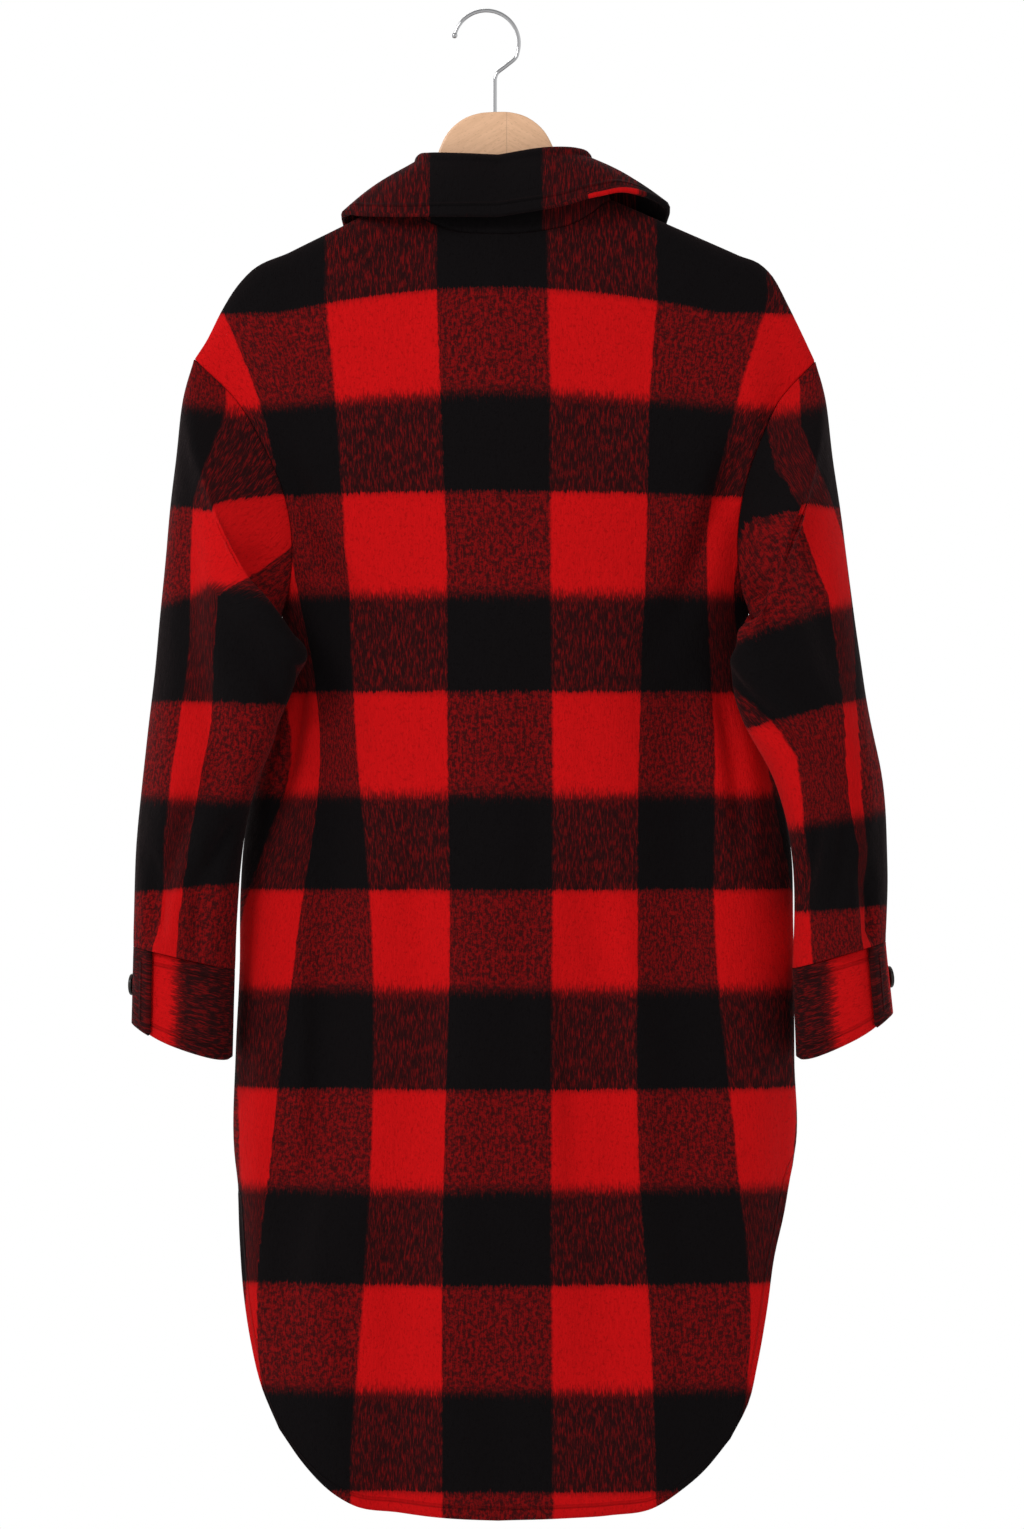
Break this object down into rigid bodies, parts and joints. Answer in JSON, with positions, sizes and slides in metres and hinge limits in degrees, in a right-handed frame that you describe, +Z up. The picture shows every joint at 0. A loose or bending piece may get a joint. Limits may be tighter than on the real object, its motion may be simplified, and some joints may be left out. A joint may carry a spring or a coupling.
{
  "type": "shirt-coat on a wooden hanger",
  "caption": "Long buffalo-check wool shirt-coat with turned-down collar and cuffed sleeves, hung empty on a wooden hanger with a wire hook for a rail.",
  "frame": {"origin": "inside of the hook's crest, where a rail carries the hanger", "axes": "+Z up; +Y out of the coat's back, which the picture shows; +X to the wearer's left"},
  "size_m": [0.6294, 0.1815, 1.2383],
  "materials": {
    "wool": "brushed wool in a red and black buffalo check",
    "button": "semi-gloss black",
    "beech": "satin lacquer on light beech",
    "hook_wire": "polished"
  },
  "bodies": {
    "root": {"back": "wool", "button_cuff_left": "button", "button_cuff_right": "button", "button_front_1": "button", "button_front_2": "button", "button_front_3": "button", "button_front_4": "button", "button_front_5": "button", "button_front_6": "button", "collar_fall": "wool", "collar_stand": "wool", "cuff_left": "wool", "cuff_right": "wool", "front_left": "wool", "front_right": "wool", "hanger_hook": "hook_wire", "hanger_wood": "beech", "sleeve_left": "wool", "sleeve_right": "wool"}
  },
  "joints": []
}
